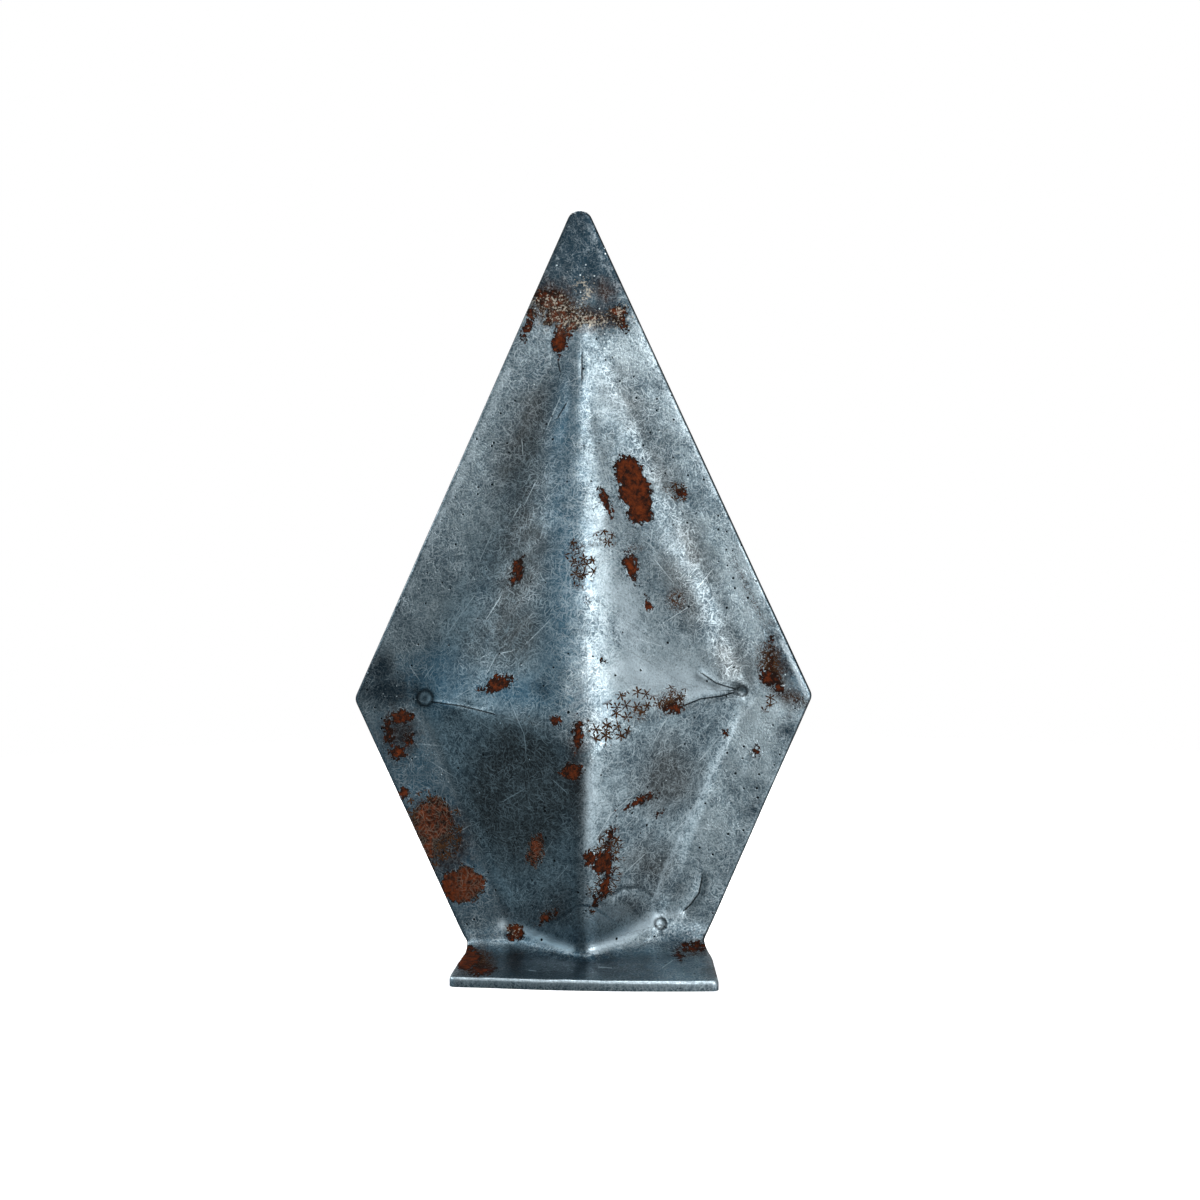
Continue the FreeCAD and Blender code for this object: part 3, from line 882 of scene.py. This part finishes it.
def pressedSteel():
    material = bpy.data.materials.new("pressedMildSteel")
    material.use_nodes = True
    tree = material.node_tree
    tree.nodes.clear()
    add = partial(addNode, tree)
    place = add("TexCoord").outputs["Object"]
    flat = add("Attribute", attribute_name="unfolded").outputs["Vector"]
    marks = {kind: add("Attribute", attribute_name=kind).outputs["Fac"] for kind in patchKinds + lineKinds}
    # patterns of chance, each with its size in mm, its detail and its roughness
    patterns = {}
    for name, size, detail, rough in (
            ("clouds", steel["cloud"], 5, 0.6), ("mottle", steel["mottle"], 4, 0.7),
            ("grain", steel["grain"], 2, 0.6), ("breaks", steel["mottle"] * 1.6, 2, 0.5),
            ("rustEdge", steel["rustEdge"], 4, 0.7), ("flakes", steel["rustEdge"] * 0.7, 3, 0.7),
            ("rustLobes", steel["rustEdge"] * 4, 2, 0.5), ("rustTone", steel["rustEdge"] * 1.6, 4, 0.75),
            ("rustGrain", steel["rustGrain"], 3, 0.7)):
        inputs = (place, len(name) + size, 1 / (size * mm), detail, rough)
        patterns[name] = add("TexNoise", *inputs, noise_dimensions="4D")

    # bare steel in three tones, lighter where it is worn and where a highlight is painted
    wornAndHighlight = add("MapRange", marks["wornAndHighlight"], -8, 20, -0.10, 0.20)
    tone = patterns["clouds"]
    for part in (patterns["mottle"], patterns["grain"], wornAndHighlight):
        tone = add("Math ADD", part, tone)
    layers = [(add("MapRange", tone, 1.15, 1.49), "middle"), (add("MapRange", tone, 1.41, 1.85), "bright")]

    # films with cloudy edges
    covered = {}
    for kind, film, pattern, reach, low, high, most in steel["films"]:
        edge = add("Math MULTIPLY_ADD", patterns[pattern], reach, -reach / 2)
        depth = add("Math ADD", marks[kind], edge)
        covered[kind] = add("MapRange", depth, low, high, 0, most)
        layers.append((covered[kind], film))

    # strokes, in patches and weaker under the films, and the long scratches
    strokes = shortStrokes(add, flat)
    patchy = add("MapRange", patterns["breaks"], 0.36, 0.60, 0.2, 0.5)
    for kind, share in (("tintAndShade", -0.8), ("stain", -0.7), ("grime", -0.4)):
        bare = add("Math MULTIPLY_ADD", covered[kind], share, 1.0)
        patchy = add("Math MULTIPLY", patchy, bare)
    scratch = add("Math COMPARE", marks["scratches"], 0.0, 0.38)
    scratch = add("Math MULTIPLY", scratch, patterns["breaks"])
    pale = add("Math MULTIPLY", strokes["paleStroke"], patchy)
    pale = add("Math MAXIMUM", pale, scratch)
    dark = add("Math MULTIPLY", strokes["darkStroke"], patchy)
    layers += [(dark, "darkStroke"), (pale, "paleStroke")]

    # painted highlights on lines and edges, partly rubbed bright, with their grain, then the dark cut edge,
    # painted shade in the hair-thin creases and the welds
    rubbed = add("Math MAXIMUM", marks["rubbed"], marks["rim"])
    rubbed = add("Math MULTIPLY_ADD", rubbed, 1.1, patterns["grain"])
    rubbed = add("Math ADD", rubbed, patterns["mottle"])
    layers.append((add("MapRange", rubbed, 1.05, 2.1, 0, 0.9), "rubbed"))
    # dark lines of painted shade along the hair-thin creases
    creaseShade = add("Math COMPARE", marks["creaseShadeLines"], 0.0, 0.8)
    for source, share, paint in ((marks["rim"], -0.85, "pit"), (creaseShade, 0.85, "pit"),
                                 (marks["weldRing"], 0.9, "pit"), (marks["weldBed"], 0.25, "rubbed")):
        layers.append((add("Math MULTIPLY", source, share, use_clamp=True), paint))

    # black pits, and pale specks that are painted glints, one to a cell and only in some cells, with more
    # specks in the glint patches
    dots = {}
    for paint, spacing, size, few, many in (
            ("pit", steel["pitSpacing"], 0.24, 0.34, 0.34),
            ("paleStroke", steel["speckSpacing"], 0.20, 0.06, 0.5)):
        cells = add("TexVoronoi", place, 1 / (spacing * mm)).outputs
        chance = add("SeparateColor", cells["Color"]).outputs
        reach = add("Math MULTIPLY", chance["Green"], size)
        near = add("Math SUBTRACT", reach, cells["Distance"])
        near = add("MapRange", near, 0, 0.08)
        share = add("MapRange", marks["glints"], -2, 8, few, many)
        chosen = add("Math LESS_THAN", chance["Red"], share)
        dots[paint] = add("Math MULTIPLY", near, chosen)
        layers.append((dots[paint], paint))

    # rust spread as a net of thin lines and as small stars
    line = add("Math SUBTRACT", patterns["rustEdge"], 0.5)
    line = add("Math ABSOLUTE", line)
    line = add("Math MULTIPLY_ADD", line, -90, 1.0)
    lace = add("Math MULTIPLY_ADD", marks["lace"], 0.55, line)
    lace = add("MapRange", lace, 0, 1)
    stars = rustStars(add, flat, marks["speckles"], patterns["rustEdge"])
    spread = add("Math MAXIMUM", stars, lace)
    spreadTone = add("MapRange", patterns["rustTone"], 0.35, 0.6)
    rustDark, starBrown, rustLight = (linear(steel[paint]) for paint in ("rustDark", "star", "rustLight"))
    layers.append((spread, add("Mix", spreadTone, rustDark, starBrown, data_type="RGBA")))

    # rust in patches with ragged edges, darker along them, and scraped where it glints
    ragged = add("Math MULTIPLY_ADD", patterns["rustEdge"], 22, -16.5)
    ragged = add("Math MULTIPLY_ADD", patterns["rustLobes"], 12, ragged)
    ragged = add("Math ADD", marks["rust"], ragged)
    rust = add("MapRange", ragged, 0.0, 0.9)
    core = add("MapRange", ragged, 0.0, 4.5, -0.22, 0.0)
    rustTone = add("Math ADD", patterns["rustTone"], core)
    rustTone = add("Math MULTIPLY_ADD", covered["stain"], -0.05, rustTone)
    rustTone = add("MapRange", rustTone, 0.38, 0.62)
    rustColour = add("Mix", rustTone, rustDark, rustLight, data_type="RGBA")
    scraped = add("MapRange", marks["glints"], -2, 10, 0, 0.3)
    scraped = add("Math MULTIPLY", scraped, strokes["paleStroke"])
    rustColour = add("Mix", scraped, rustColour, linear(steel["scraped"]), data_type="RGBA")
    layers.append((rust, rustColour))
    rusty = add("Math MAXIMUM", rust, spread)

    # cream flakes among the rust
    flake = add("Math MULTIPLY_ADD", patterns["flakes"], 80, -46.5)
    flake = add("Math ADD", marks["flakes"], flake)
    layers.append((add("MapRange", flake, 0, 4, 0, 0.75), "flake"))

    # the layers laid over each other, each in a colour of the steel or in one mixed above
    colour = linear(steel["dark"])
    for cover, paint in layers:
        paint = linear(steel[paint]) if isinstance(paint, str) else paint
        colour = add("Mix", cover, colour, paint, data_type="RGBA")

    # gloss and relief
    metallic = add("Math SUBTRACT", 1.0, rusty)
    roughness = add("MapRange", tone, 1.15, 1.75, steel["roughness"] + 0.1, steel["roughness"] - 0.06)
    roughness = add("Math MULTIPLY_ADD", rusty, 0.5, roughness, use_clamp=True)
    height = add("Math MULTIPLY_ADD", patterns["mottle"], 0.6, patterns["grain"])
    crust = add("Math MULTIPLY_ADD", patterns["rustGrain"], 3.0, 0.5)
    height = add("Math MULTIPLY_ADD", crust, rusty, height)
    for groove, depth in ((pale, -0.25), (dark, -0.35), (dots["pit"], -1.0), (creaseShade, -0.85)):
        height = add("Math MULTIPLY_ADD", groove, depth, height)
    bump = add("Bump", Strength=0.45, Distance=0.05 * mm, Height=height)
    looks = {"Base Color": colour, "Specular IOR Level": 0.08}
    shader = add("BsdfPrincipled", Metallic=metallic, Roughness=roughness, Normal=bump, **looks)
    add("OutputMaterial", shader)
    return material


pressedMaterial = pressedSteel()
for name, marks, facing in (("frontSheet", frontSheet, 1), ("backSheet", backSheet, -1)):
    piece = buildSheet(name, marks, facing)
    piece.data.materials.append(pressedMaterial)
    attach(piece, "root")
    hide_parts("front_pressing" if facing > 0 else "back_pressing")
print("both sheets made")

# Studio: a plain pale floor that fades into a white background, and soft lights
studio = {
    "floor": "#F2F3F4",
    "floorGlow": 0.55,      # fills the floor up to white, so that only soft shadow shows on it
    "floorRadius": 260,     # where the floor has faded into the background
    "floorDrop": 0.02,      # by which the floor lies under the foot, so that they don't flicker
    "fadeFrom": 120,
    "background": "#FFFFFF",
    "coolLight": "#C4DEEB",
    "neutralLight": "#E6EBEE",
    # Soft glow of the room, by direction round to the right, up, strength and colour
    "glows": ((55, -20, 1.4, "neutralLight"), (-80, 20, 0.6, "coolLight"), (-60, -25, 0.22, "coolLight"),
              (60, 30, 0.15, "neutralLight"), (180, 20, 0.8, "neutralLight")),
    "lampDistance": 520,
    # Each lamp: direction round to the right and up in degrees, size in mm, watts
    "lamps": {
        "frontSoftbox": (15, 25, 180, 0.43),
        "rightSoftbox": (45, 45, 180, 0.62),
        "lowSoftbox": (30, 5, 180, 0.62),
        "leftSoftbox": (-60, 45, 180, 0.27),
        "farLeftSoftbox": (-100, 25, 180, 0.9),
        "centreSoftbox": (-16, 26, 160, 0.12),
        "topSoftbox": (0, 74, 300, 0.9),
        "backSoftbox": (180, 60, 300, 4.0),
    },
}


def headingOf(across, up):
    turn, lift = math.radians(across), math.radians(up)
    return Vector((math.sin(turn) * math.cos(lift), -math.cos(turn) * math.cos(lift), math.sin(lift)))


def layFloor():
    radius, sides = studio["floorRadius"] * mm, 64
    turns = [i * math.tau / sides for i in range(sides)]
    corners = [(radius * math.cos(t), radius * math.sin(t), -studio["floorDrop"] * mm) for t in turns]
    mesh = bpy.data.meshes.new("studioFloor")
    mesh.from_pydata(corners, [], [tuple(range(sides))])
    material = bpy.data.materials.new("paleFloor")
    material.use_nodes = True
    tree = material.node_tree
    tree.nodes.clear()
    add = partial(addNode, tree)
    place = add("TexCoord").outputs["Object"]
    away = add("VectorMath LENGTH", place).outputs["Value"]
    fadeFrom, fadeTo = studio["fadeFrom"] * mm, radius * 0.98
    fade = add("MapRange", away, fadeFrom, fadeTo, interpolation_type="SMOOTHSTEP")
    paint = add("BsdfDiffuse", linear(studio["floor"]))
    straight = add("LightPath").outputs["Is Camera Ray"]
    glow = add("Math MULTIPLY", straight, studio["floorGlow"])
    paint = add("AddShader", paint, add("Emission", Strength=glow))
    add("OutputMaterial", add("MixShader", fade, paint, add("BsdfTransparent")))
    mesh.materials.append(material)
    floor = bpy.data.objects.new("studioFloor", mesh)
    floor.visible_glossy = False
    bpy.context.scene.collection.objects.link(floor)


def lightStudio():
    world = bpy.data.worlds.new("studioWorld")
    bpy.context.scene.world = world
    world.use_nodes = True
    tree = world.node_tree
    tree.nodes.clear()
    add = partial(addNode, tree)
    heading = add("TexCoord").outputs["Generated"]
    felt = add("CombineXYZ")
    for across, up, share, paint in studio["glows"]:
        towards = add("VectorMath DOT_PRODUCT", heading, headingOf(across, up))
        towards = add("Math MAXIMUM", towards, 0)
        towards = add("Math POWER", towards, 3)
        tinted = [share * part for part in linear(studio[paint])[:3]]
        felt = add("VectorMath MULTIPLY_ADD", towards, tinted, felt)
    felt = add("Background", felt)
    seen = add("Background", linear(studio["background"]))
    straight = add("LightPath").outputs["Is Camera Ray"]
    add("OutputWorld", add("MixShader", straight, felt, seen))
    for name, (across, up, size, power) in studio["lamps"].items():
        data = bpy.data.lights.new(name, "AREA")
        data.shape, data.size, data.energy = "DISK", size * mm, power
        lamp = bpy.data.objects.new(name, data)
        bpy.context.scene.collection.objects.link(lamp)
        heading = headingOf(across, up)
        lamp.location = heading * studio["lampDistance"] * mm + Vector((0, 0, fullHeight * mm / 2))
        lamp.rotation_euler = (-heading).to_track_quat("-Z", "Y").to_euler()
    bpy.context.scene.view_settings.view_transform = "Standard"


layFloor()
lightStudio()
print("studio lit")
